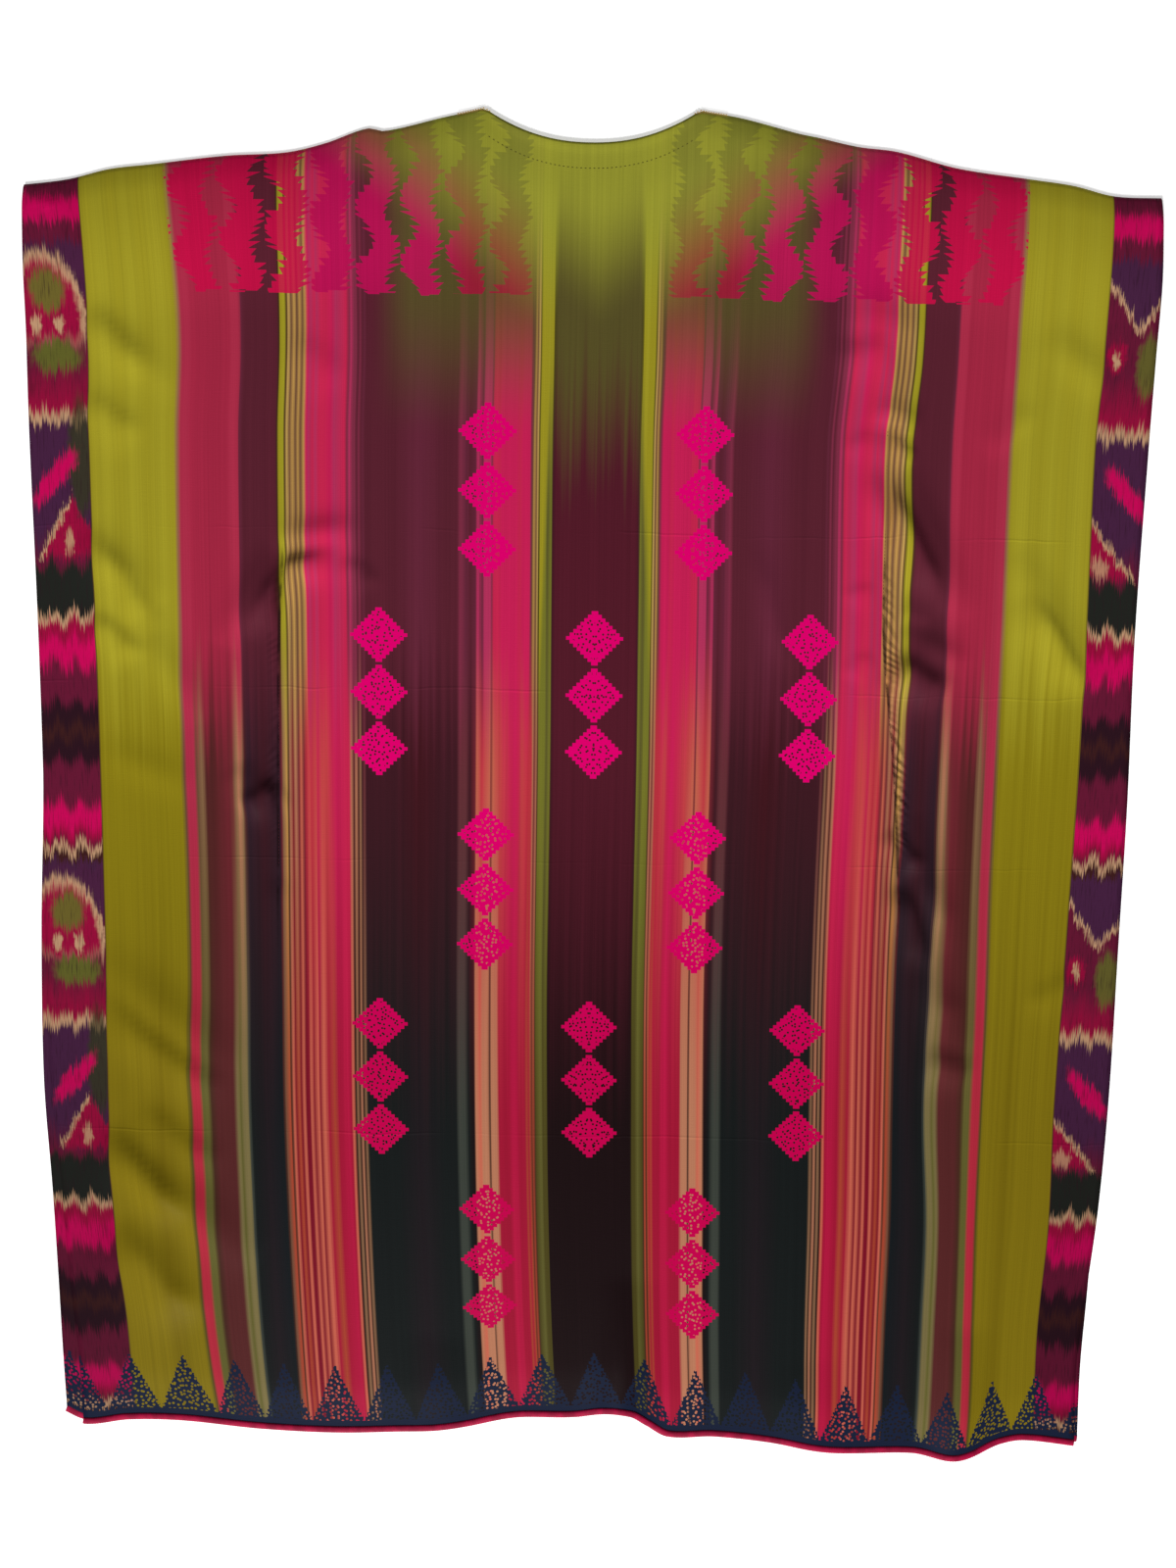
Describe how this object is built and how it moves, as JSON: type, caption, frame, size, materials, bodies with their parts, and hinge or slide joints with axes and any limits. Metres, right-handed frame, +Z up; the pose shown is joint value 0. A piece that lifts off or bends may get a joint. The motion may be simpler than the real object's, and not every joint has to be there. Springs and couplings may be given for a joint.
{
  "type": "kaftan laid flat",
  "caption": "Wide silk kaftan laid flat, back side up: front and back cut in one with their wings, shallow back neck, stitched body seams, rolled hem and printed stripes with ikat side bands.",
  "frame": {"origin": "on the surface the garment lies on, under the middle of its outline", "axes": "+X across the garment to the right as seen from above, +Y from the hem to the neck, +Z up"},
  "size_m": [1.1141, 1.3761, 0.0127],
  "materials": {
    "back_silk": "smooth printed silk with a soft sheen",
    "front_silk": "smooth printed silk with a soft sheen",
    "hem_silk": "rolled silk edge, magenta"
  },
  "bodies": {
    "root": {"front_panel": "front_silk", "front_hem": "hem_silk", "back_panel": "back_silk", "back_hem": "hem_silk"}
  },
  "joints": []
}
